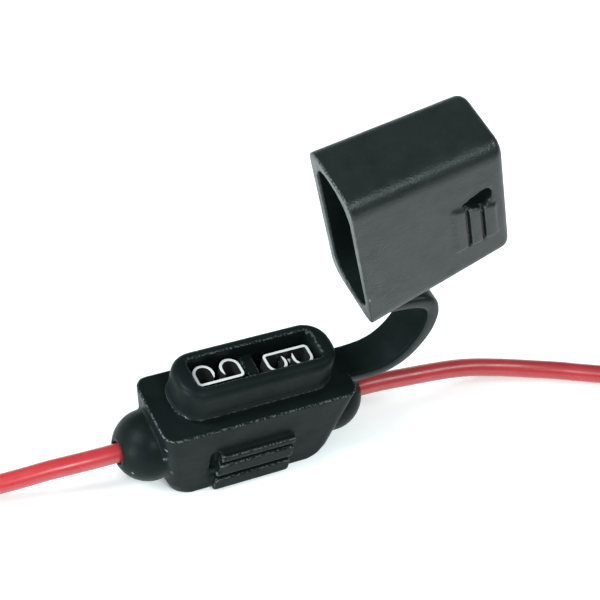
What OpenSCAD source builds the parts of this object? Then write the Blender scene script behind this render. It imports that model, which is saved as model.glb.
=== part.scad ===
// In-line holder for a standard blade fuse: a soft moulding with two glands, a collar that the
// fuse pushes into, and a deep cap on a flexible strap. It stands open, as it is left for fitting.
// Millimetres. X runs along the leads with the strap at +X, Y across, Z up from the underside.

/* [Body] */
// Width of the body block across the leads
deck_w = 12.3; // [11.8:0.1:14]
// Height of the body block
block_h = 13.6; // [13:0.1:15.5]
// How far each end of the block leans in from the deck to the underside
end_lean = 2.7; // [1:0.1:3]
// How far each long side leans in from the deck to the underside
side_lean = 0.15; // [0:0.05:0.4]
// Radius of the block's upright corners
corner_r = 2.0; // [1:0.1:2.6]
// Radius of the block's lower corners, seen from the side
foot_r = 2.2; // [1:0.1:3]

/* [Collar] */
// Length of the collar that the cap closes over
collar_l = 24.6; // [23.8:0.1:25.4]
// Width of the collar
collar_w = 8.6; // [8.2:0.1:9.2]
// Height of the collar over the deck
collar_h = 6.2; // [5:0.1:7]
// Radius of the collar's round ends, seen from above
collar_r = 3.75; // [2.5:0.05:4]
// Rounding of the collar's top edge
collar_edge = 1.2; // [0.6:0.1:1.4]
// Height of the undercut at the foot of the collar
undercut_h = 0.9; // [0.5:0.1:1.4]
// Depth of the undercut
undercut_in = 0.35; // [0.2:0.05:0.5]

/* [Socket] */
// Length of the socket's mouth, for a fuse body 19.1 long
socket_l = 19.3; // [18.6:0.1:20]
// Width of the socket's mouth, for a fuse body 5.1 thick
socket_w = 5.2; // [4.9:0.1:5.4]
// Depth of the terminals' top edges under the rim
terminal_drop = 1.6; // [1:0.1:3]
// Distance between the two terminals' middles
terminal_pitch = 10.8; // [10.2:0.1:11]
// Thickness of the web between the two pockets
web_t = 2.0; // [1.4:0.1:2.4]

/* [Terminals] */
// Width of a receptacle
receptacle_w = 7.2; // [6.8:0.1:7.4]
// Depth of a receptacle from its flat to the tops of its curls
receptacle_t = 3.5; // [3.2:0.1:3.8]
// Height of a receptacle
receptacle_h = 7.6; // [6.6:0.1:8.4]
// Thickness of the strip that the terminals are pressed from
strip_t = 0.4; // [0.3:0.05:0.5]
// Outer radius of the strip's bends at a receptacle's corners
strip_bend = 0.7; // [0.6:0.05:0.9]
// Height of the open mouth at a receptacle's top, where the curls' tips are cut back
mouth_h = 1.4; // [1:0.1:2]

/* [Leads] */
// Diameter of a lead over its insulation
lead_d = 2.8; // [2.4:0.1:3]
// Diameter of the bare strands
strand_d = 1.7; // [1.3:0.1:1.9]
// Height of the leads where they leave the body
lead_z = 5.9; // [5.8:0.1:6.2]
// Radius of the round glands
gland_r = 5.2; // [4.6:0.1:5.6]
// Running clearance between a lead and the hole that it passes through, on the radius
lead_fit = 0.09; // [0.07:0.01:0.12]
// Height of a hank's upper face over the underside, one lead thick
hank_h = 2.8; // [2.6:0.1:3]

/* [Cap] */
// Thickness of the cap's end walls at its mouth
cap_wall = 1.4; // [1.2:0.1:1.8]
// Width of the cap at its mouth
cap_w = 12.4; // [12:0.1:13]
// Depth of the cap outside
cap_d = 22.1; // [20:0.1:25]
// How much shorter the cap's closed end is than its mouth
cap_lean_l = 4.2; // [3:0.1:4.4]
// How much narrower the closed end is than the mouth
cap_lean_w = 0.6; // [0.2:0.1:1]
// Radius of the cap's upright corners
cap_r = 2.7; // [2:0.1:3.2]
// Rounding of the edges of the closed end
cap_edge = 1.5; // [1:0.1:1.8]
// Thickness of the closed end
cap_top_t = 2.0; // [1.4:0.1:2.6]
// Clearance between the collar and the cap that closes over it
cap_fit = 0.3; // [0.2:0.05:0.4]
// Gap between the closed cap and the deck
cap_gap = 0.3; // [0.2:0.05:0.5]

/* [Strap] */
// Thickness of the strap
strap_t = 2.0; // [1.6:0.1:2.2]
// Width of the strap where it leaves the deck and the cap
strap_w = 6.0; // [5:0.1:7]
// Width of the strap at its bend
bend_w = 6.8; // [5:0.1:8]
// Reach of each strap arm along X at rest
arm_x = 10.0; // [9:0.1:12]
// Rise of each strap arm along Z at rest
arm_z = 4.6; // [4.3:0.1:5]
// Height of the strap's bend between its two arms
bend_h = 5.1; // [4.8:0.1:5.6]
// Distance from the cap's end wall to the strap's flexing line, at the deck's end
strap_out = 1.3; // [1.2:0.05:2]
// Turn of the cap from closed to its rest position
open_deg = 69; // [60:1:80]
// Clearance at the strap's flexing lines
flex_gap = 0.25; // [0.15:0.05:0.3]

/* [Grips] */
// Length of the finger grips along the body
grip_l = 12.2; // [9:0.1:14]
// Height of the finger grips on the body, over two ribs and a narrow one at the top
grip_h = 7.6; // [6:0.1:8.4]
// Width of the grooves between the body's ribs
grip_groove = 0.8; // [0.5:0.1:1.2]
// Length of the cap's grips
cap_grip_l = 9.2; // [7:0.1:11]
// Height of the cap's grips, over their three ribs
cap_grip_h = 6.2; // [5:0.1:8]
// Diameter of the round hollow beside each of the cap's grips
hollow_d = 2.6; // [2:0.1:3]
// How far the grip ribs stand out of the body
grip_out = 1.1; // [0.6:0.1:1.4]
// How far the grip ribs stand out of the cap
cap_grip_out = 0.5; // [0.3:0.1:0.8]
// Width of the grooves between the cap's ribs
groove_w = 0.45; // [0.3:0.05:0.7]

/* [Hidden] */
$fn = 48;
eps = 0.02;

rim_z = block_h + collar_h;
cap_l = collar_l + 2 * (cap_fit + cap_wall);
root_x = cap_l / 2 + strap_out;
deck_l = 2 * root_x;
foot_l = deck_l - 2 * end_lean;
foot_w = deck_w - 2 * side_lean;
gland_x = foot_l / 2 + 2 * end_lean * lead_z / (2 * block_h) + 0.65;

// Terminals: the strip stands on end in the pockets, and its barrel lies on the lead's line
terminal_top = rim_z - terminal_drop;
terminal_x = terminal_pitch / 2;
terminal_flat_y = 1.3;
barrel_l = 4.2;
barrel_x = terminal_x + receptacle_w / 2 - 0.7;
barrel_end = barrel_x + barrel_l;
barrel_bore = strand_d + 0.06;
pocket_top = terminal_top - 1.0;
pocket_w = socket_w;
pocket_floor = lead_z - strand_d / 2 - strip_t - 0.8;
pocket_x0 = web_t / 2;
pocket_x1 = socket_l / 2;
barrel_room = barrel_end + 0.3;

// Where the leads start inside the body, at the crimp
lead_start = barrel_end + 1.0;

// Cap and strap: the flexing lines, at rest and with the cap closed
strap_z = block_h - strap_t / 2;
low_x = root_x + arm_x;
low_z = strap_z + arm_z;
high_z = low_z + bend_h;
hang_z = high_z + arm_z;
closed_z = block_h + cap_gap + strap_t / 2;
arm_l = sqrt(arm_x * arm_x + arm_z * arm_z);
arm_deg = atan(arm_z / arm_x);
cavity_l = collar_l + 2 * cap_fit;
cavity_w = collar_w + 2 * cap_fit;
cavity_r = collar_r + cap_fit;
seat_h = collar_h + cap_fit;
fuse_room_l = cap_l - cap_lean_l - 2.4;
fuse_room_w = cap_w - cap_lean_w - 3.6;
cap_grip_x = -cap_grip_l / 2 + 0.5;

// Routes of the leads, chosen by hand: out of the gland, down to the surface and to the hank
left_route = [[-21, 0, 5.9], [-24, 0.1, 5.8], [-27, 0.4, 5.5], [-30, 0.8, 5.0], [-33, 1.2, 4.3],
    [-36, 1.7, 3.6], [-39, 2.4, 2.9], [-42, 3.4, 2.2], [-45, 4.5, 1.7], [-48, 5.5, 1.4],
    [-51, 6.2, 1.4]];
right_route = [[21, 0, 5.9], [24, 0, 5.7], [28, 0, 5.2], [32, 0, 4.7], [36, 0, 4.1],
    [40, -0.2, 3.4], [44, -0.7, 2.6], [48, -1.5, 1.9], [52, -2.7, 1.5], [56, -4.2, 1.4],
    [60, -6.0, 1.4], [64, -7.6, 1.4], [68, -8.8, 1.4], [72, -9.3, 1.4], [76, -9.4, 1.4],
    [78.5, -9.4, 1.4]];
// The rest of each lead is folded into a hank: its folds' middles in X, and its middle in Y
left_hank = [-48.2, -89, -1.6];
right_hank = [79, 101.9, -1.0];
fold_r = 3 * lead_d;

// A flat plate with round corners, its length along X
module plate(l, w, r, h) {
    linear_extrude(h) {
        square([l - 2 * r, w], center = true);
        square([l, w - 2 * r], center = true);
        for (x = [-1, 1], y = [-1, 1])
            translate([x * (l / 2 - r), y * (w / 2 - r)]) circle(r);
    }
}

// The corners of a plate whose upper edge is rounded all round
module round_top_corners(l, w, r, edge, h) {
    for (x = [-1, 1], y = [-1, 1]) translate([x * (l / 2 - r), y * (w / 2 - r), h - edge]) {
        rotate_extrude($fn = 32) translate([r - edge, 0]) intersection() {
            circle(edge, $fn = 24);
            square(edge);
        }
        cylinder(r = r - edge, h = edge, $fn = 32);
    }
}

// The corners of a plate at a level, thin, as one end of a hull
module level_corners(l, w, r) {
    for (x = [-1, 1], y = [-1, 1]) translate([x * (l / 2 - r), y * (w / 2 - r), 0])
        cylinder(r = r, h = eps, $fn = 32);
}

// The block: long at the deck, shorter below, with round corners all ways
module block() {
    lean_l = foot_l + 2 * end_lean * foot_r / block_h;
    hull() {
        translate([0, 0, block_h - eps]) level_corners(deck_l, deck_w, corner_r);
        translate([0, 0, foot_r]) level_corners(lean_l, foot_w, corner_r);
        translate([0, 0, 0.3 * foot_r]) level_corners(lean_l - 0.7 * foot_r, foot_w, corner_r);
        level_corners(lean_l - 1.7 * foot_r, foot_w, corner_r);
    }
}

// The collar, standing over the deck on its undercut neck
module collar() {
    translate([0, 0, block_h - eps]) plate(collar_l - 2 * undercut_in,
        collar_w - 2 * undercut_in, collar_r - undercut_in, undercut_h + 2 * eps);
    translate([0, 0, block_h + undercut_h]) hull() {
        level_corners(collar_l, collar_w, collar_r);
        round_top_corners(collar_l, collar_w, collar_r, collar_edge, collar_h - undercut_h);
    }
}

// One grip: two broad ribs across the side and a narrow one over them
module grip_ribs() {
    rib = (grip_h - 2 * grip_groove) / 2.5;
    corner = 0.5;
    for (k = [0:2]) translate([0, 0, k * (rib + grip_groove)]) rotate([90, 0, 0])
        linear_extrude(grip_out + 0.2) {
            tall = k == 2 ? rib / 2 : rib;
            translate([-grip_l / 2 + corner, 0]) square([grip_l - 2 * corner, tall]);
            translate([-grip_l / 2, corner]) square([grip_l, tall - 2 * corner]);
            for (x = [-1, 1], z = [corner, tall - corner])
                translate([x * (grip_l / 2 - corner), z]) circle(corner);
        }
}

// The room inside the body: the socket's mouth, two pockets and the way of each lead
module inside() {
    translate([0, 0, pocket_top]) plate(socket_l, pocket_w, 0.8, rim_z);
    for (side = [-1, 1]) scale([side, 1, 1]) {
        translate([pocket_x0, -pocket_w / 2, pocket_floor])
            cube([pocket_x1 - pocket_x0, pocket_w, rim_z - pocket_floor - terminal_drop]);
        translate([pocket_x1 - eps, 0, lead_z]) rotate([0, 90, 0])
            cylinder(d = lead_d + 1.2, h = barrel_room - pocket_x1 + eps);
        translate([pocket_x1, 0, lead_z]) rotate([0, 90, 0])
            cylinder(d = lead_d + 2 * lead_fit, h = gland_x + 2 * gland_r);
        translate([gland_x + gland_r - 0.9, 0, lead_z]) rotate([0, 90, 0])
            cylinder(d1 = lead_d + 0.3, d2 = lead_d + 1.5, h = 1.2);
    }
}

// The body moulding: block, collar, glands and grips in one piece, hollow for the terminals
module body() {
    color("#33373a") difference() {
        union() {
            block();
            collar();
            for (side = [-1, 1]) translate([side * gland_x, 0, lead_z]) sphere(gland_r, $fn = 64);
            for (side = [0, 1]) mirror([0, side, 0]) {
                translate([-0.5, -foot_w / 2 + 0.2, 0.5]) grip_ribs();
            }
        }
        inside();
        // the strap's root turns in this notch at the end of the deck
        translate([root_x, 0, strap_z]) rotate([90, 0, 0])
            cylinder(r = strap_t / 2 + flex_gap, h = strap_w + 2 * flex_gap, center = true);
        translate([root_x - strap_t / 2 - flex_gap, -strap_w / 2 - flex_gap, strap_z])
            cube([deck_l, strap_w + 2 * flex_gap, strap_t]);
        // a hollow at the end of each grip
        for (side = [0, 1]) mirror([0, side, 0])
            translate([-grip_l / 2 - 1.4, -deck_w / 2 - 1, 0.6 * grip_h])
                cube([1.3, 1.8, 0.5 * grip_h]);
    }
}

// The cap as it stands when closed, its mouth at z = 0
module cap_shell() {
    top_l = cap_l - cap_lean_l;
    top_w = cap_w - cap_lean_w;
    difference() {
        union() {
            hull() {
                level_corners(cap_l, cap_w, cap_r);
                round_top_corners(top_l, top_w, cap_r, cap_edge, cap_d);
            }
            for (side = [0, 1]) mirror([0, side, 0])
                translate([0.7, -top_w / 2 + 0.1, cap_d - cap_grip_h - 2.1]) cap_grip();
        }
        translate([0, 0, -eps]) plate(cavity_l, cavity_w, cavity_r, seat_h + eps);
        hull() {
            translate([0, 0, seat_h - eps]) level_corners(cavity_l - 0.6, cavity_w - 0.2, 3.6);
            translate([0, 0, seat_h + 2.2]) level_corners(fuse_room_l, fuse_room_w, 3);
            translate([0, 0, cap_d - cap_top_t]) level_corners(fuse_room_l - 1, fuse_room_w - 0.4, 3);
        }
        // the round hollow at the -X end of each grip
        for (side = [0, 1]) mirror([0, side, 0])
            translate([cap_grip_x - 0.9, -top_w / 2 + 0.9, cap_d - 3.8]) thumb_hollow();
    }
}

// A hollow that is round at the grip's far end and tapers to its near end
module thumb_hollow() {
    far = hollow_d / 2;
    near = hollow_d / 5;
    rotate([90, 0, 0]) linear_extrude(1.9) {
        circle(far);
        translate([0.4, -2.4]) circle(near);
        polygon([[-far, 0], [0.4 - near, -2.4], [0.4 + near, -2.4], [far, 0]]);
    }
}

// The cap's grip: a low pad with two narrow grooves across it
module cap_grip() {
    rib = (cap_grip_h - 2 * groove_w) / 3;
    for (k = [0:2]) translate([cap_grip_x, -cap_grip_out, k * (rib + groove_w)])
        cube([cap_grip_l, cap_grip_out + 0.4, rib]);
}

module cap() {
    color("#4a5053") translate([root_x, 0, hang_z]) rotate([0, open_deg, 0])
        translate([-root_x, 0, -closed_z + block_h + cap_gap]) cap_shell();
}

// A length of strap between two flexing lines, round at both ends, lying along +X from the first
module strap_arm(w0, w1) {
    translate([0, 0, -strap_t / 2]) linear_extrude(strap_t)
        polygon([[0, -w0 / 2], [arm_l, -w1 / 2], [arm_l, w1 / 2], [0, w0 / 2]]);
    rotate([90, 0, 0]) cylinder(d = strap_t, h = w0, center = true);
    translate([arm_l, 0, 0]) rotate([90, 0, 0]) cylinder(d = strap_t, h = w1, center = true);
}

module strap_lower() {
    color("#3c4144") translate([root_x, 0, strap_z]) rotate([0, -arm_deg, 0])
        strap_arm(strap_w, bend_w);
}

module strap_bend() {
    room = strap_t / 2 + flex_gap;
    color("#3c4144") translate([low_x, 0, low_z + room])
        translate([-strap_t / 2, -bend_w / 2, 0]) cube([strap_t, bend_w, bend_h - 2 * room]);
}

module strap_upper() {
    color("#3c4144") translate([root_x, 0, hang_z]) rotate([0, arm_deg, 0])
        strap_arm(strap_w, bend_w);
}

// One side of a receptacle: a strip that rises from a round corner and rolls in to a tip
module curl(tip) {
    r = (receptacle_t - strip_t) / 2;
    w = receptacle_w / 2;
    difference() {
        union() {
            translate([w - r, receptacle_t - r]) circle(r);
            translate([w - 2 * r, receptacle_t - r - tip]) square([r, tip]);
            translate([w - r, strip_bend]) square([r, receptacle_t - r - strip_bend]);
        }
        translate([w - r, receptacle_t - r]) circle(r - strip_t);
        translate([w - 2 * r + strip_t, 0]) square([2 * (r - strip_t), receptacle_t - r]);
    }
    translate([w - strip_bend, strip_bend]) difference() {
        circle(strip_bend);
        circle(strip_bend - strip_t);
        translate([-2 * strip_bend, 0]) square(4 * strip_bend);
        translate([-2 * strip_bend, -2 * strip_bend]) square(2 * strip_bend);
    }
}

// A length of receptacle, its curls ending in tips of one length
module receptacle(h, tip) {
    flat = receptacle_w - 2 * strip_bend;
    linear_extrude(h) {
        translate([-flat / 2 - eps, 0]) square([flat + 2 * eps, strip_t]);
        for (side = [-1, 1]) scale([side, 1]) curl(tip);
    }
}

// A terminal in one pressed piece, for the +X side: receptacle on end, neck and open barrel
module terminal() {
    top = terminal_top;
    long_tip = receptacle_t / 2 - strip_t / 2 - 0.4;
    translate([terminal_x, -terminal_flat_y, top - mouth_h]) receptacle(mouth_h, 0.3);
    translate([terminal_x, -terminal_flat_y, top - receptacle_h])
        receptacle(receptacle_h - mouth_h + eps, long_tip);
    // the neck comes down from the flat to the barrel, which lies along the lead
    neck_top = top - receptacle_h;
    translate([terminal_x - 1.2, -terminal_flat_y, lead_z - 1.2])
        cube([2.4, strip_t, neck_top - lead_z + 1.2 + eps]);
    translate([terminal_x - 1.2, -terminal_flat_y, lead_z - 1.2])
        cube([barrel_x - terminal_x + 1.3, strip_t, 2.4]);
    translate([barrel_x, 0, lead_z]) rotate([0, 90, 0]) difference() {
        cylinder(d = barrel_bore + 2 * strip_t, h = barrel_l);
        translate([0, 0, -eps]) cylinder(d = barrel_bore, h = barrel_l + 2 * eps);
    }
}

module right_terminal() {
    color("#c9ccce") mirror([0, 1, 0]) terminal();
}

module left_terminal() {
    color("#c9ccce") mirror([1, 0, 0]) terminal();
}

// The bare strands, from inside the barrel to the end of the insulation
module conductor() {
    translate([barrel_x - 0.3, 0, lead_z]) rotate([0, 90, 0])
        cylinder(d = strand_d, h = lead_start - barrel_x + 0.3);
}

module left_conductor() {
    color("#c8834a") mirror([1, 0, 0]) conductor();
}

module right_conductor() {
    color("#c8834a") conductor();
}

// A tube along a list of points, eight sides, each ring square to the route
function unit(v) = v / norm(v);
function way(p, i) = unit(p[min(i + 1, len(p) - 1)] - p[max(i - 1, 0)]);
function ring_at(p, i, r, n) = let (t = way(p, i), s = unit(cross([0, 0, 1], t)), u = cross(t, s))
    [for (k = [0:n - 1]) p[i] + r * (cos(360 * k / n) * s + sin(360 * k / n) * u)];
module tube(p, d) {
    n = 8;
    last = len(p) - 1;
    r = d / 2 / cos(180 / n) * 0.97;
    polyhedron(
        points = [for (i = [0:last]) each ring_at(p, i, r, n)],
        faces = concat([[for (k = [0:n - 1]) k]],
            [for (i = [0:last - 1], k = [0:n - 1])
                [i * n + k, (i + 1) * n + k, (i + 1) * n + (k + 1) % n, i * n + (k + 1) % n]],
            [[for (k = [n - 1:-1:0]) last * n + k]]));
}

// The lead's first length is straight, from the crimp through the gland
module left_lead() {
    color("#c8202c") tube(concat([[-lead_start, 0, lead_z], [-(lead_start + 4), 0, lead_z]],
        left_route), lead_d);
}

module right_lead() {
    color("#c8202c") tube(concat([[lead_start, 0, lead_z], [lead_start + 4, 0, lead_z]],
        right_route), lead_d);
}

// An oblong with round ends between a hank's two folds
module oblong(at, r) {
    for (x = [at[0], at[1]]) translate([x, at[2]]) circle(r);
    translate([min(at[0], at[1]), at[2] - r]) square([abs(at[1] - at[0]), 2 * r]);
}

// A hank as one solid of its outer shape, one lead wide all round
module hank(at) {
    linear_extrude(hank_h) difference() {
        oblong(at, fold_r + lead_d / 2);
        oblong(at, fold_r - lead_d / 2);
    }
}

module left_lead_hank() {
    color("#c8202c") hank(left_hank);
}

module right_lead_hank() {
    color("#c8202c") hank(right_hank);
}

body();
cap();
strap_lower();
strap_bend();
strap_upper();
left_terminal();
right_terminal();
left_conductor();
right_conductor();
left_lead();
right_lead();
left_lead_hank();
right_lead_hank();
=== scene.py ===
"""In-line blade fuse holder, open, on a white floor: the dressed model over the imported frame.

Sizes and places are in millimetres, as in part.scad, and are turned into metres where they are used.
"""
import math

import bmesh
import bpy
from mathutils import Matrix, Vector


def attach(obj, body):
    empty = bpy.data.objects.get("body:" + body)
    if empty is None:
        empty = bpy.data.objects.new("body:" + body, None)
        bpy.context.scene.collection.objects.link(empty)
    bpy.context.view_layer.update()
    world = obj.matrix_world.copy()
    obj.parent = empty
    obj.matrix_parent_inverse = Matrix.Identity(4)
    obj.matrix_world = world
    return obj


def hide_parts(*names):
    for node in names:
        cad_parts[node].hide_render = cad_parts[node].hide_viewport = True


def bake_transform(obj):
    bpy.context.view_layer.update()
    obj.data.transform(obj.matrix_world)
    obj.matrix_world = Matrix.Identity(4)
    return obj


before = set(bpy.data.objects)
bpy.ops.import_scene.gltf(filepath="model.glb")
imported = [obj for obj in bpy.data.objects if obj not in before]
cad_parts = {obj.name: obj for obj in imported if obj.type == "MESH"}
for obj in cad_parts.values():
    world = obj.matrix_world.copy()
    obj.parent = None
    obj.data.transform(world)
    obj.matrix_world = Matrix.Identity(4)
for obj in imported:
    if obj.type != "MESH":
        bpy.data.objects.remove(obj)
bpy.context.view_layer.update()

MM = 0.001

# Camera: where the photograph was taken from, fitted to the outlines of the block and the cap
CAM_AZIMUTH, CAM_ELEVATION, CAM_ROLL = -38.04, 46.23, 15.65
CAM_DISTANCE, CAM_SENSOR = 264.82, 36
CAM_FOCAL_PX, FRAME_PX = 1800, 600
ORIGIN_PX = (232.7, 444.3)

# Body: the collar, the heights of the shadow gap and the lip at its foot, and the glands
COLLAR_L, COLLAR_W, COLLAR_R = 24.6, 8.6, 3.75
GAP_LOW, LIP_LOW, LIP_TOP = 13.75, 14.45, 15.0
GAP_DEEP, LIP_PROUD = 0.8, 0.2
LEAD_Z, GLAND_X, GLAND_R = 5.9, 14.42, 5.2

# Leads: their length counts from the gland's end and takes in the bare strands
LEAD_D, LEAD_LENGTH, STRIPPED = 2.8, 150, 8
LEAD_START, STRAIGHT_IN_GLAND, LEAD_POINT_STEP = 13.5, 4, 3.9
LEFT_ROUTE = [[-21, 0, 5.9], [-24, 0.1, 5.8], [-27, 0.4, 5.5], [-30, 0.8, 5.0], [-33, 1.2, 4.3],
    [-36, 1.7, 3.6], [-39, 2.4, 2.9], [-42, 3.4, 2.2], [-45, 4.5, 1.7], [-48, 5.5, 1.4],
    [-51, 6.2, 1.4], [-55, 6.7, 1.4], [-59, 6.8, 1.4]]
RIGHT_ROUTE = [[21, 0, 5.9], [24, 0, 5.7], [28, 0, 5.2], [32, 0, 4.7], [36, 0, 4.1],
    [40, -0.2, 3.4], [44, -0.7, 2.6], [48, -1.5, 1.9], [52, -2.7, 1.5], [56, -4.2, 1.4],
    [60, -6.0, 1.4], [64, -7.6, 1.4], [68, -8.8, 1.4], [72, -9.3, 1.4], [76, -9.4, 1.4],
    [80, -9.4, 1.4]]
# Each hank: the middles of its far and near folds in X, their Y, and how far the near fold turns
LEFT_HANK, RIGHT_HANK = (-89, -48.2, -1.6, 85), (101.9, 79, -1.0, 115)
FOLD_R = 3 * LEAD_D

# Bare strands: six round one, hidden for a short length in the insulation
STRANDS_ROUND, STRAND_SIDES = 6, 8
STRAND_BUNDLE_D, STRANDS_HIDDEN = 1.7, 1.5
STRAND_STEP, STRAND_TWIST = 0.5, 0.045
STRAND_FAN, STRAND_FAN_FROM = 0.22, 0.6

# Cap: how it hangs on the strap in X and Z, its outside and its room
HANG, CAP_OPEN, CAP_MOUTH_DROP = (15.3, 26.9), 69, -1.0
CAP_HALF_L, CAP_END_LEAN = 14.0, 0.095
CAP_FACE_Y, CAP_FACE_LEAN = 5.96, 0.0136
CAP_END_WALL, ROOM_HALF_W = 0.75, 4.7
ROOM_LOW, ROOM_TOP = 0.3, 20.6

# Grips, in the cap's own frame: a round end is its X, its Z and its radius
GRIP_Y = 6.3
GRIP_END = ((-3.5, 13.9, 0.3), (-3.5, 20.1, 0.3), (-0.9, 20.1, 0.3))
GROOVES_Z, GROOVE_X = (15.8, 18.0), (-2.8, 6.0)
GROOVE_W, GROOVE_DEEP = 0.55, 0.8
SOLID_HOLLOW = ((-5.0, 18.3, 1.4), (-4.6, 15.9, 0.6))
HOLLOW_ENDS, HOLLOW_DEEP = ((-3.4, 18.4, 1.3), (-2.6, 18.4, 1.3), (-3.1, 15.8, 0.5)), 1.6
HOLLOW_HALF_L, HOLLOW_FLOOR_Y = 6, 5.3

# Skins of the mouldings: their cells, how often their edges are softened, and how far a shape
# that is fused on or cut away reaches past the surface
VOXEL, SOFTEN_ROUNDS = 0.205, 3
LIP_ROOTED, CLEAR_OF_COLLAR, CLEAR_OF_GRIP = 1.0, 1.5, 1
WELD = 0.0001

# Strap: the line of its middle from the deck to the cap, in X and Z, and its foot in the deck
STRAP_LINE = [(13.6, 12.6), (15.3, 12.6), (17.2, 12.6), (19, 12.7), (20.6, 13.0), (22, 13.6),
    (23.3, 14.6), (24.4, 16.0), (25.3, 17.8), (26.0, 19.8), (26.3, 21.8), (26.2, 23.8),
    (25.5, 25.5), (24.0, 26.5), (22.0, 26.9), (19.6, 27.0), (17.4, 27.1), (16.0, 27.5),
    (15.2, 28.2), (14.66, 29.0)]
STRAP_FOOT = ((13.4, -3.3, 11.3), (15.3, 3.3, 13.6))
STRAP_W, BEND_W = 6.0, 6.9
STRAP_T, BEND_T = 2.0, 2.5
STRAP_EDGE_R, STRAP_EDGE_FLAT = 0.9, 0.15
STRAP_STEP = 0.25
# The faces of each ring that look into the strap's bend, which get painted shade
STRAP_INNER_FACES = range(2, 9)
# Where two lengths meet, which is where the strap is stiff
STRAP_SEAMS = [(21.0, 13.1), (26.1, 20.3), (20.8, 27.0)]
# Each length: the bodies at its ends, and from where to where it bends from one to the other
STRAP_LENGTHS = [
    ("strap_root_length", "holder", "lower_arm", (14.4, 12.6), (18.6, 12.8)),
    ("strap_low_length", "lower_arm", "bend", (23.0, 14.3), (25.9, 19.4)),
    ("strap_high_length", "bend", "upper_arm", (26.3, 21.2), (23.2, 26.2)),
    ("strap_cap_length", "upper_arm", "cap", (19.0, 27.0), (15.4, 28.0)),
]

# Colours, from the darker to the lighter tone of each surface
BLACK_TONES = (0.0050, 0.0072, 0.0074), (0.0080, 0.0112, 0.0114)
# Painted highlight: the pale colour of the glints on the mouldings' sharp edges
EDGE_GLINT = (0.16, 0.175, 0.175, 1)
# Painted shade and highlight: the tin's dark sides and its bright up-facing edges
TIN_SHADED_TO_LIT = (0.04, 0.04, 0.04), (0.96, 0.96, 0.95)
COPPER_TONES = (0.70, 0.34, 0.20), (0.86, 0.50, 0.33)
RED_TONES = (0.40, 0.020, 0.027), (0.46, 0.029, 0.036)

# Floor and lights: each light has its place in metres, its size and its power
FLOOR_HALF, FLOOR_DROP = 1.5, 0.00005
LIT_AT = (0.01, 0, 0.015)
LIGHTS = [
    ("top_left", (-0.62, 0.12, 0.62), 0.40, 8.5),
    ("front_key", (-0.04, -0.50, 0.62), 0.22, 2.4),
    ("right_fill", (0.62, -0.30, 0.70), 0.35, 2.6),
    ("left_low", (-0.85, -0.22, 0.10), 0.34, 7.0),
]
LIGHT_COLOR, SKY_COLOR, SKY_STRENGTH = (0.89, 1, 1), (0.88, 1, 1, 1), 0.26


# Shared helpers

def metres(*p):
    """A place in millimetres, as a vector in metres."""
    return Vector(p) * MM


def link(name, data):
    """A new object of the scene."""
    made = bpy.data.objects.new(name, data)
    bpy.context.scene.collection.objects.link(made)
    return made


def as_object(name, mesh, smooth=False):
    """An object from a bmesh, with its faces turned outward."""
    bmesh.ops.recalc_face_normals(mesh, faces=mesh.faces)
    data = bpy.data.meshes.new(name)
    mesh.to_mesh(data)
    mesh.free()
    if smooth:
        data.shade_smooth()
    return link(name, data)


def sleeve(mesh, rings):
    """Faces between each ring of points and the next."""
    count = len(rings[0])
    for low, high in zip(rings, rings[1:]):
        for j in range(count):
            mesh.faces.new((low[j], low[(j + 1) % count], high[(j + 1) % count], high[j]))


def oblong(length, width, radius, per):
    """A rounded oblong's points in its plane, in order round it, with per points on each corner."""
    found = []
    for cu, cv, start in ((1, 1, 0), (-1, 1, 90), (-1, -1, 180), (1, -1, 270)):
        for k in range(per):
            a = math.radians(start + 90 * k / (per - 1))
            found.append((cu * (length / 2 - radius) + radius * math.cos(a),
                cv * (width / 2 - radius) + radius * math.sin(a)))
    return found


def smooth_line(points, per=8):
    """Points of an even, smooth line through points, per of them for each gap."""
    p = [Vector(q) for q in points]
    p = [2 * p[0] - p[1]] + p + [2 * p[-1] - p[-2]]
    line = []
    for a, b, c, d in zip(p, p[1:], p[2:], p[3:]):
        for k in range(per):
            t = k / per
            line.append(0.5 * (2 * b + (c - a) * t + (2 * a - 5 * b + 4 * c - d) * t ** 2
                + (3 * b - a - 3 * c + d) * t ** 3))
    return line + [p[-2]]


def between(line, start, end):
    """The part of a line from start to end, as lengths along it."""
    kept, gone = [], 0.0
    for a, b in zip(line, line[1:]):
        step = (b - a).length
        if gone <= start < gone + step:
            kept.append(a.lerp(b, (start - gone) / step))
        if start < gone + step <= end:
            kept.append(b.copy())
        elif gone < end < gone + step:
            kept.append(a.lerp(b, (end - gone) / step))
        gone += step
    return kept


def spaced(line, step):
    """A line as points about one step apart."""
    total = sum((b - a).length for a, b in zip(line, line[1:]))
    count = round(total / step)
    marks, out, gone, i = [total * k / count for k in range(1, count)], [line[0]], 0.0, 0
    for a, b in zip(line, line[1:]):
        length = (b - a).length
        while i < len(marks) and marks[i] <= gone + length:
            out.append(a.lerp(b, (marks[i] - gone) / length))
            i += 1
        gone += length
    return out + [line[-1]]


def heading(line, i):
    """Which way a line runs at its point i."""
    return (line[min(i + 1, len(line) - 1)] - line[max(i - 1, 0)]).normalized()


# Camera

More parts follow.
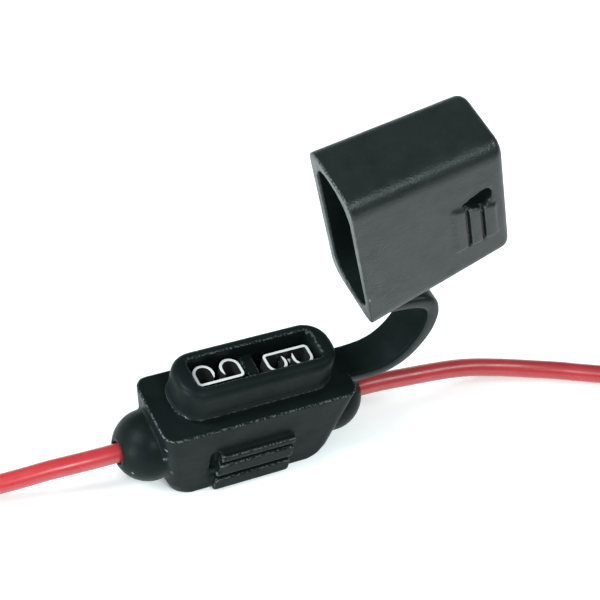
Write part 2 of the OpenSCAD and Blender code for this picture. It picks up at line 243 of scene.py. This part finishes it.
def camera():
    """The photograph's view: the camera looks at the object with its own roll, and no shift."""
    azimuth, elevation, roll = (math.radians(a) for a in (CAM_AZIMUTH, CAM_ELEVATION, CAM_ROLL))
    back = Vector((math.sin(azimuth) * math.cos(elevation),
        -math.cos(azimuth) * math.cos(elevation), math.sin(elevation)))
    level = Vector((0, 0, 1)).cross(back).normalized()
    upright = back.cross(level)
    right = math.cos(roll) * level + math.sin(roll) * upright
    up = math.cos(roll) * upright - math.sin(roll) * level
    across = (ORIGIN_PX[0] - FRAME_PX / 2) / CAM_FOCAL_PX * CAM_DISTANCE
    down = (ORIGIN_PX[1] - FRAME_PX / 2) / CAM_FOCAL_PX * CAM_DISTANCE
    place = (back * CAM_DISTANCE - right * across + up * down) * MM
    data = bpy.data.cameras.new("camera")
    data.sensor_width = CAM_SENSOR
    data.lens = CAM_SENSOR * CAM_FOCAL_PX / FRAME_PX
    data.clip_start, data.clip_end = 0.01, 20
    made = link("camera", data)
    made.matrix_world = Matrix((
        (right.x, up.x, back.x, place.x), (right.y, up.y, back.y, place.y),
        (right.z, up.z, back.z, place.z), (0, 0, 0, 1)))
    bpy.context.scene.camera = made


# Leads and their bare strands

def hank(far, near, y, near_turn, side):
    """Points of a lead's folded length: a full fold at its far end, and part of one at its near end."""
    found = []
    for middle, out, turn, steps in ((far, side, 180, 10), (near, -side, near_turn, 6)):
        for k in range(steps + 1):
            a = math.radians(turn * k / steps)
            found.append([middle + out * FOLD_R * math.sin(a),
                y - out * FOLD_R * math.cos(a), LEAD_D / 2])
    return found


def lead(name, side, route, folded):
    """One red lead as a curve from its crimp in the body, and the line of its bare strands."""
    inside = [[side * x, 0, LEAD_Z] for x in (LEAD_START, LEAD_START + STRAIGHT_IN_GLAND)]
    line = smooth_line(inside + route + folded)
    insulated = GLAND_X + GLAND_R - LEAD_START + LEAD_LENGTH - STRIPPED
    points = spaced(between(line, 0, insulated), LEAD_POINT_STEP)
    data = bpy.data.curves.new(name, "CURVE")
    data.dimensions = "3D"
    data.bevel_depth = LEAD_D / 2 * MM
    data.bevel_resolution = 7
    data.resolution_u = 6
    data.use_fill_caps = True
    spline = data.splines.new("BEZIER")
    spline.bezier_points.add(len(points) - 1)
    for point, at in zip(spline.bezier_points, points):
        point.co = at * MM
        point.handle_left_type = point.handle_right_type = "AUTO"
    return link(name, data), between(line, insulated - STRANDS_HIDDEN, insulated + STRIPPED)


def strands(name, line):
    """Seven bare copper strands in a loose twist along a line, fanned out a little at its end."""
    line = spaced(line, STRAND_STEP)
    mesh = bmesh.new()
    thick = STRAND_BUNDLE_D / 6
    round_strand = [2 * math.pi * j / STRAND_SIDES for j in range(STRAND_SIDES)]
    for k in range(STRANDS_ROUND + 1):
        rings = []
        for i, at in enumerate(line):
            ahead = heading(line, i)
            side = Vector((0, 0, 1)).cross(ahead).normalized()
            over = ahead.cross(side)
            fan = 1 + STRAND_FAN * max(0.0, i / len(line) - STRAND_FAN_FROM) * (k % 3)
            turn = 2 * math.pi * (k / STRANDS_ROUND + STRAND_TWIST * i)
            out = 0 if k == STRANDS_ROUND else 2 * thick * fan
            middle = at + out * (math.cos(turn) * side + math.sin(turn) * over)
            rings.append([mesh.verts.new((middle + thick * (math.cos(a) * side
                + math.sin(a) * over)) * MM) for a in round_strand])
        sleeve(mesh, rings)
        mesh.faces.new(rings[0])
        mesh.faces.new(list(reversed(rings[-1])))
    return as_object(name, mesh, smooth=True)


# Materials

def new_material(name):
    """A material with one shader: it, its nodes, the shader and the place on the object."""
    material = bpy.data.materials.new(name)
    material.use_nodes = True
    tree = material.node_tree
    tree.nodes.clear()
    out = tree.nodes.new("ShaderNodeOutputMaterial")
    shader = tree.nodes.new("ShaderNodeBsdfPrincipled")
    tree.links.new(shader.outputs["BSDF"], out.inputs["Surface"])
    where = tree.nodes.new("ShaderNodeTexCoord").outputs["Object"]
    return material, tree, shader, where


def noise(tree, where, scale, detail=2.0, rough=0.5):
    """A cloudy value."""
    node = tree.nodes.new("ShaderNodeTexNoise")
    node.inputs["Scale"].default_value = scale
    node.inputs["Detail"].default_value = detail
    node.inputs["Roughness"].default_value = rough
    tree.links.new(where, node.inputs["Vector"])
    return node.outputs["Fac"]


def ramp(tree, value, low, high):
    """A colour or a grey from one value to another, each given as where it lies and what it is."""
    node = tree.nodes.new("ShaderNodeValToRGB")
    for element, (at, color) in zip(node.color_ramp.elements, (low, high)):
        element.position = at
        element.color = (*color, 1) if isinstance(color, tuple) else (color, color, color, 1)
    tree.links.new(value, node.inputs["Fac"])
    return node.outputs["Color"]


def bump(tree, height, strength, distance, normal=None):
    """A relief in the shading, on top of another one if it is given."""
    node = tree.nodes.new("ShaderNodeBump")
    node.inputs["Strength"].default_value = strength
    node.inputs["Distance"].default_value = distance
    tree.links.new(height, node.inputs["Height"])
    if normal is not None:
        tree.links.new(normal, node.inputs["Normal"])
    return node.outputs["Normal"]


def moulding_material(name, gloss, grain, sharp):
    """Soft black PVC: nearly black with a green-grey cast, a mould grain, and painted highlights: pale
    glints on edges.
    """
    material, tree, shader, where = new_material(name)
    color = ramp(tree, noise(tree, where, 160, 4, 0.6), (0.3, BLACK_TONES[0]), (0.7, BLACK_TONES[1]))
    edge = tree.nodes.new("ShaderNodeNewGeometry").outputs["Pointiness"]
    # Painted highlight: this mask puts pale glints on sharp edges, broken up by a fine noise
    worn = tree.nodes.new("ShaderNodeMath")
    worn.operation = "MULTIPLY"
    tree.links.new(ramp(tree, edge, (sharp, 0.0), (sharp + 0.055, 1.0)), worn.inputs[0])
    tree.links.new(ramp(tree, noise(tree, where, 3600, 1), (0.46, 0.0), (0.60, 1.0)), worn.inputs[1])
    glinted = tree.nodes.new("ShaderNodeMix")
    glinted.data_type = "RGBA"
    tree.links.new(worn.outputs[0], glinted.inputs["Factor"])
    tree.links.new(color, glinted.inputs[6])
    glinted.inputs[7].default_value = EDGE_GLINT
    tree.links.new(glinted.outputs[2], shader.inputs["Base Color"])
    patches = noise(tree, where, 420, 3, 0.65)
    tree.links.new(ramp(tree, patches, (0.32, 0.30), (0.68, 0.44)), shader.inputs["Roughness"])
    grained = bump(tree, noise(tree, where, 4300, 1), grain, 0.00006)
    waved = bump(tree, noise(tree, where, 900), 0.22, 0.00008, grained)
    tree.links.new(waved, shader.inputs["Normal"])
    shader.inputs["Specular IOR Level"].default_value = gloss
    return material


def copper_material():
    """Bare copper with a fine drawn grain and a patchy tone."""
    material, tree, shader, where = new_material("copper_strands")
    tone = noise(tree, where, 700, 4, 0.6)
    tree.links.new(ramp(tree, tone, (0.3, COPPER_TONES[0]), (0.7, COPPER_TONES[1])),
        shader.inputs["Base Color"])
    worn = noise(tree, where, 2800, 3, 0.6)
    tree.links.new(ramp(tree, worn, (0.3, 0.22), (0.7, 0.38)), shader.inputs["Roughness"])
    tree.links.new(bump(tree, noise(tree, where, 9800), 0.06, 0.00002), shader.inputs["Normal"])
    shader.inputs["Metallic"].default_value = 1.0
    return material


def tin_material():
    """Tin-plated strip with painted light and shade: the cut edges, which face up, are painted bright,
    and its sides are painted dark.
    """
    material, tree, shader, where = new_material("tin_plate")
    parts = tree.nodes.new("ShaderNodeSeparateXYZ")
    facing = tree.nodes.new("ShaderNodeTexCoord").outputs["Normal"]
    tree.links.new(facing, parts.inputs["Vector"])
    # Painted light and shade: dark where faces look sideways, bright where they look up
    tree.links.new(ramp(tree, parts.outputs["Z"], (0.75, TIN_SHADED_TO_LIT[0]), (0.95, TIN_SHADED_TO_LIT[1])),
        shader.inputs["Base Color"])
    worn = noise(tree, where, 2000, 3, 0.6)
    tree.links.new(ramp(tree, worn, (0.3, 0.34), (0.7, 0.46)), shader.inputs["Roughness"])
    shader.inputs["Metallic"].default_value = 0.45
    return material


def insulation_material():
    """Smooth red PVC insulation with a slight gloss, faint drawing marks and a soft tone."""
    material, tree, shader, where = new_material("red_insulation")
    tone = noise(tree, where, 260, 4, 0.6)
    tree.links.new(ramp(tree, tone, (0.3, RED_TONES[0]), (0.7, RED_TONES[1])),
        shader.inputs["Base Color"])
    worn = noise(tree, where, 500, 3, 0.6)
    tree.links.new(ramp(tree, worn, (0.3, 0.27), (0.7, 0.36)), shader.inputs["Roughness"])
    tree.links.new(bump(tree, noise(tree, where, 1500), 0.06, 0.00008), shader.inputs["Normal"])
    shader.inputs["Specular IOR Level"].default_value = 0.7
    return material


def floor_material():
    """A pale, dull floor that glows faintly, so that it stays white beside the shadows."""
    material, tree, shader, where = new_material("pale_floor")
    tree.links.new(ramp(tree, noise(tree, where, 30), (0.3, 0.90), (0.7, 0.92)),
        shader.inputs["Base Color"])
    shader.inputs["Roughness"].default_value = 0.9
    shader.inputs["Specular IOR Level"].default_value = 0.1
    shader.inputs["Emission Color"].default_value = (0.96, 1, 1, 1)
    shader.inputs["Emission Strength"].default_value = 0.27
    return material


BODY_BLACK = moulding_material("body_black", gloss=0.05, grain=0.42, sharp=0.517)
STRAP_BLACK = moulding_material("strap_black", gloss=0.24, grain=0.42, sharp=0.53)
CAP_BLACK = moulding_material("cap_black", gloss=0.36, grain=0.85, sharp=0.53)
# Painted shade: a less glossy copy of the moulding for faces that lie in shade
SHADED_BLACK = moulding_material("painted_shade_black", gloss=0.01, grain=0.42, sharp=0.6)
TIN = tin_material()
COPPER = copper_material()
RED = insulation_material()


def dress(piece, material):
    """Give a piece its material."""
    piece.data.materials.clear()
    piece.data.materials.append(material)


def paint_shade_where(piece, inside):
    """Give the faces that inside picks a less glossy, darker copy of the moulding: painted shade where
    they lie in shade.
    """
    piece.data.materials.append(SHADED_BLACK)
    for face in piece.data.polygons:
        face.material_index = 1 if inside(face) else 0


# Skins of the body and the cap, made from the CAD solids, with every edge softened

def band(mesh, inside, outside, low, high):
    """A closed band round the collar, from inside its wall to outside it, between two heights."""
    def loop(out, z):
        return [mesh.verts.new(metres(x, y, z)) for x, y in oblong(
            COLLAR_L + 2 * out, COLLAR_W + 2 * out, COLLAR_R + out, 10)]
    loops = [loop(-inside, low), loop(outside, low), loop(outside, high), loop(-inside, high)]
    sleeve(mesh, loops + loops[:1])


def box(mesh, low, high, placed):
    """A box between two opposite corners, in the frame placed."""
    low, high = metres(*low), metres(*high)
    bmesh.ops.create_cube(mesh, size=1, matrix=placed @ Matrix.Translation((low + high) / 2)
        @ Matrix.Diagonal((*(high - low), 1)))


def peg(mesh, ends, y0, y1, placed, lean=0):
    """A peg from y0 to y1 round its ends, each given as (x, z, radius), in the frame placed.

    With a lean, the end at y1 follows the cap's leaning face.
    """
    verts = []
    for x, z, r in ends:
        for a in (2 * math.pi * k / 24 for k in range(24)):
            px, pz = x + r * math.cos(a), z + r * math.sin(a)
            leant = y1 - math.copysign(lean * (pz - GROOVES_Z[1]), y1)
            verts += [mesh.verts.new(placed @ metres(px, y0, pz)),
                mesh.verts.new(placed @ metres(px, leant, pz))]
    made = bmesh.ops.convex_hull(mesh, input=verts)
    spare = [g for g in made["geom_interior"] + made["geom_unused"]
        if isinstance(g, bmesh.types.BMVert)]
    bmesh.ops.delete(mesh, geom=list(set(spare)), context="VERTS")


def skin(name, node, material, add, cut):
    """A softened copy of a CAD node with small shapes fused on and cut away, as one moulding."""
    mesh = bmesh.new()
    mesh.from_mesh(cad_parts[node].data)
    bmesh.ops.remove_doubles(mesh, verts=mesh.verts, dist=WELD * MM)
    add(mesh)
    made = as_object(name, mesh)
    mesh = bmesh.new()
    cut(mesh)
    tool = as_object(name + "_tool", mesh)
    away = made.modifiers.new("cut_away", "BOOLEAN")
    away.operation, away.solver, away.object = "DIFFERENCE", "EXACT", tool
    away.use_self = True
    fuse = made.modifiers.new("one_moulding", "REMESH")
    fuse.mode = "VOXEL"
    fuse.voxel_size = VOXEL * MM
    soften = made.modifiers.new("soft_edges", "SMOOTH")
    soften.factor, soften.iterations = 0.5, SOFTEN_ROUNDS
    graph = bpy.context.evaluated_depsgraph_get()
    final = bpy.data.meshes.new_from_object(made.evaluated_get(graph))
    made.modifiers.clear()
    bpy.data.objects.remove(tool)
    made.data = final
    final.name = name
    final.shade_smooth()
    dress(made, material)
    return made


def add_to_body(mesh):
    """The lip at the collar's foot, and the strap's foot, where the real moulding has no gap."""
    band(mesh, LIP_ROOTED, LIP_PROUD, LIP_LOW, LIP_TOP)
    box(mesh, *STRAP_FOOT, Matrix.Identity(4))


def cut_from_body(mesh):
    """The shadow gap under the lip."""
    band(mesh, GAP_DEEP, CLEAR_OF_COLLAR, GAP_LOW, LIP_LOW)


def cap_placed():
    """The cap's own frame, its mouth's middle at the origin and its depth along Z, as it hangs."""
    return (Matrix.Translation(metres(HANG[0], 0, HANG[1]))
        @ Matrix.Rotation(math.radians(CAP_OPEN), 4, "Y")
        @ Matrix.Translation(metres(-HANG[0], 0, CAP_MOUTH_DROP)))


def add_to_cap(mesh):
    """The solid's own hollow is filled, because the photo's reaches further into the grip."""
    for side in (-1, 1):
        peg(mesh, SOLID_HOLLOW, side * ROOM_HALF_W, side * CAP_FACE_Y, cap_placed(), CAP_FACE_LEAN)


def cut_from_cap(mesh):
    """The thumb hollow at each grip's end, its slanted end, and the two grooves along it."""
    placed = cap_placed()
    for side in (-1, 1):
        outside = side * (GRIP_Y + CLEAR_OF_GRIP)
        peg(mesh, HOLLOW_ENDS, outside, side * (GRIP_Y - HOLLOW_DEEP), placed)
        peg(mesh, GRIP_END, outside, side * CAP_FACE_Y, placed, CAP_FACE_LEAN)
        low_y, high_y = sorted((outside, side * (GRIP_Y - GROOVE_DEEP)))
        for z in GROOVES_Z:
            box(mesh, (GROOVE_X[0], low_y, z - GROOVE_W / 2),
                (GROOVE_X[1], high_y, z + GROOVE_W / 2), placed)


def in_cap(face):
    """Whether a face of the cap's skin lies in its room or in the bottom of a thumb hollow."""
    x, y, z = (v / MM for v in cap_placed().inverted() @ face.center)
    in_room = abs(y) < ROOM_HALF_W and abs(x) < CAP_HALF_L - CAP_END_LEAN * z - CAP_END_WALL
    in_hollow = abs(y) < HOLLOW_FLOOR_Y and abs(x) < HOLLOW_HALF_L
    return ROOM_LOW < z < ROOM_TOP and (in_room or in_hollow)


# Strap

def strap_ring(mesh, at, ahead, wide, thick):
    """One rounded ring of the strap, square to its line; at and ahead lie in X and Z."""
    out = Vector((-ahead[1], ahead[0]))
    corner = min(STRAP_EDGE_R, thick / 2 - STRAP_EDGE_FLAT)
    return [mesh.verts.new(metres(at[0] + n * out[0], y, at[1] + n * out[1]))
        for y, n in oblong(wide, thick, corner, 6)]


def strap_piece(name, line, first, last):
    """The strap from one point of its line to another, as an open sleeve."""
    mesh = bmesh.new()
    rings = []
    for i in range(first, last + 1):
        share = math.sin(math.pi * i / (len(line) - 1)) ** 2
        wide = STRAP_W + (BEND_W - STRAP_W) * share
        thick = STRAP_T + (BEND_T - STRAP_T) * share
        rings.append(strap_ring(mesh, line[i], heading(line, i), wide, thick))
    count = len(rings[0])
    sleeve(mesh, rings)
    made = as_object(name, mesh, smooth=True)
    dress(made, STRAP_BLACK)
    # Painted shade on the faces that look into the bend
    paint_shade_where(made, lambda face: face.index % count in STRAP_INNER_FACES)
    return made


def strap():
    """The strap in four lengths; they meet where it is stiff."""
    line = spaced(smooth_line([(x, 0, z) for x, z in STRAP_LINE], 10), STRAP_STEP)
    line = [Vector((p.x, p.z)) for p in line]

    def nearest(place):
        return min(range(len(line)), key=lambda i: (line[i] - Vector(place)).length)

    ends = [0] + [nearest(seam) for seam in STRAP_SEAMS] + [len(line) - 1]
    for (name, a, b, start, end), first, last in zip(STRAP_LENGTHS, ends, ends[1:]):
        piece = strap_piece(name, line, first, last)
        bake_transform(piece)
    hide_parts("strap_lower")
    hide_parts("strap_bend")
    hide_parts("strap_upper")


# Floor and light

def floor():
    """The pale floor, a hair below the holder's underside."""
    mesh = bmesh.new()
    bmesh.ops.create_grid(mesh, x_segments=1, y_segments=1, size=FLOOR_HALF)
    data = bpy.data.meshes.new("floor")
    mesh.to_mesh(data)
    mesh.free()
    made = link("floor", data)
    made.location = (0, 0, -FLOOR_DROP)
    data.materials.append(floor_material())


def area_light(name, place, size, power):
    """A round soft light that is aimed at the holder."""
    data = bpy.data.lights.new(name, "AREA")
    data.shape = "DISK"
    data.size = size
    data.energy = power
    data.color = LIGHT_COLOR
    made = link(name, data)
    made.location = place
    made.rotation_euler = (Vector(LIT_AT) - Vector(place)).to_track_quat("-Z", "Y").to_euler()


def sky():
    """An even, faint light from all round."""
    world = bpy.data.worlds.new("soft_room")
    world.use_nodes = True
    background = world.node_tree.nodes["Background"]
    background.inputs["Color"].default_value = SKY_COLOR
    background.inputs["Strength"].default_value = SKY_STRENGTH
    bpy.context.scene.world = world


# The scene

camera()
left_cord, left_bare = lead("left_lead_wire", -1, LEFT_ROUTE, hank(*LEFT_HANK, -1))
right_cord, right_bare = lead("right_lead_wire", 1, RIGHT_ROUTE, hank(*RIGHT_HANK, 1))
left_strands = strands("left_bare_strands", left_bare)
right_strands = strands("right_bare_strands", right_bare)
for piece in (left_cord, right_cord):
    dress(piece, RED)
for piece in (left_strands, right_strands):
    dress(piece, COPPER)
for piece in (left_cord, right_cord, left_strands, right_strands):
    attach(piece, "holder")
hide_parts("left_lead", "left_lead_hank")
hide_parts("right_lead", "right_lead_hank")

body_skin = skin("body_moulding", "body", BODY_BLACK, add_to_body, cut_from_body)
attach(body_skin, "holder")
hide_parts("body")

cap_skin = skin("cap_moulding", "cap", CAP_BLACK, add_to_cap, cut_from_cap)
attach(cap_skin, "cap")
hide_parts("cap")
# Painted shade in the cap's room and in the bottoms of its thumb hollows
paint_shade_where(cap_skin, in_cap)

strap()

for node in ("left_terminal", "right_terminal"):
    dress(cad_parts[node], TIN)
for node in ("left_conductor", "right_conductor"):
    dress(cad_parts[node], COPPER)

floor()
for light in LIGHTS:
    area_light(*light)
sky()
bpy.context.scene.view_settings.view_transform = "Standard"
